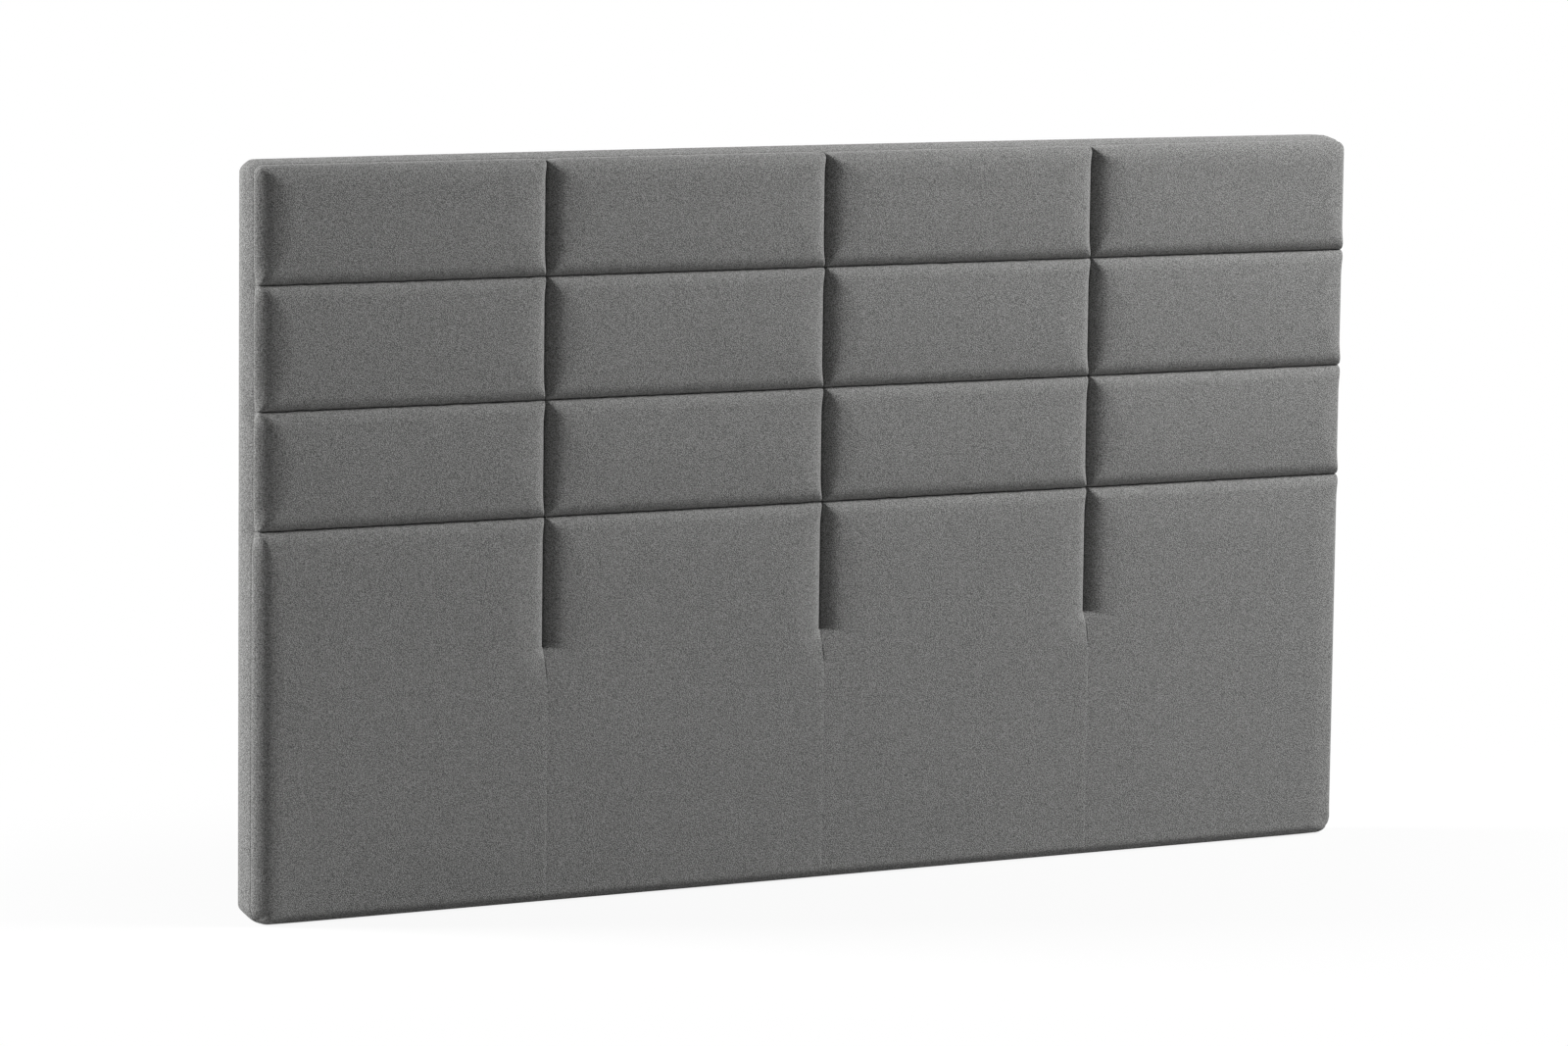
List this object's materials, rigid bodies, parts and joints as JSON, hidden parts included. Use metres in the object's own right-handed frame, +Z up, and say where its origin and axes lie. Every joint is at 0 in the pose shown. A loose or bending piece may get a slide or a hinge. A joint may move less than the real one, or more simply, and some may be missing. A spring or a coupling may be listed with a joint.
{
  "type": "headboard",
  "caption": "Low upholstered headboard with channelled pillow panels above tall plain panels, on a softwood frame, with bolt inserts in the back.",
  "frame": {"origin": "middle of the bottom face, at the middle of the width and of the depth", "axes": "+X along the width, to the right of someone facing the padded front; +Z up; +Y towards the back, so the padded front faces -Y"},
  "size_m": [1.8, 0.063, 1.06],
  "materials": {
    "upholstery_fabric": "woven, mid grey, flecked with lighter and darker threads",
    "foam": "open-cell upholstery foam, pale cream",
    "wadding": "white polyester wadding",
    "softwood": "planed, unfinished",
    "hardboard": "smooth brown fibreboard",
    "plywood": "sanded plywood",
    "zinc_plated_steel": "bright zinc plate",
    "dust_cover_cloth": "black spun-bonded cloth"
  },
  "bodies": {
    "root": {"border_band": "upholstery_fabric", "border_band_bottom": "upholstery_fabric", "corner_blocks": "softwood", "cover_second_1": "upholstery_fabric", "cover_second_2": "upholstery_fabric", "cover_second_3": "upholstery_fabric", "cover_second_4": "upholstery_fabric", "cover_tall_1": "upholstery_fabric", "cover_tall_2": "upholstery_fabric", "cover_tall_3": "upholstery_fabric", "cover_tall_4": "upholstery_fabric", "cover_third_1": "upholstery_fabric", "cover_third_2": "upholstery_fabric", "cover_third_3": "upholstery_fabric", "cover_third_4": "upholstery_fabric", "cover_top_1": "upholstery_fabric", "cover_top_2": "upholstery_fabric", "cover_top_3": "upholstery_fabric", "cover_top_4": "upholstery_fabric", "dust_cover": "dust_cover_cloth", "edge_wadding": "wadding", "face_panel": "hardboard", "foam_second_1": "foam", "foam_second_2": "foam", "foam_second_3": "foam", "foam_second_4": "foam", "foam_slab_lower": "foam", "foam_third_1": "foam", "foam_third_2": "foam", "foam_third_3": "foam", "foam_third_4": "foam", "foam_top_1": "foam", "foam_top_2": "foam", "foam_top_3": "foam", "foam_top_4": "foam", "frame_bottom_rail": "softwood", "frame_inner_stile_centre": "softwood", "frame_inner_stile_left": "softwood", "frame_inner_stile_right": "softwood", "frame_left_stile": "softwood", "frame_right_stile": "softwood", "frame_screws": "zinc_plated_steel", "frame_top_rail": "softwood", "mounting_board_left": "plywood", "mounting_board_right": "plywood", "t_nuts": "zinc_plated_steel"}
  },
  "joints": []
}
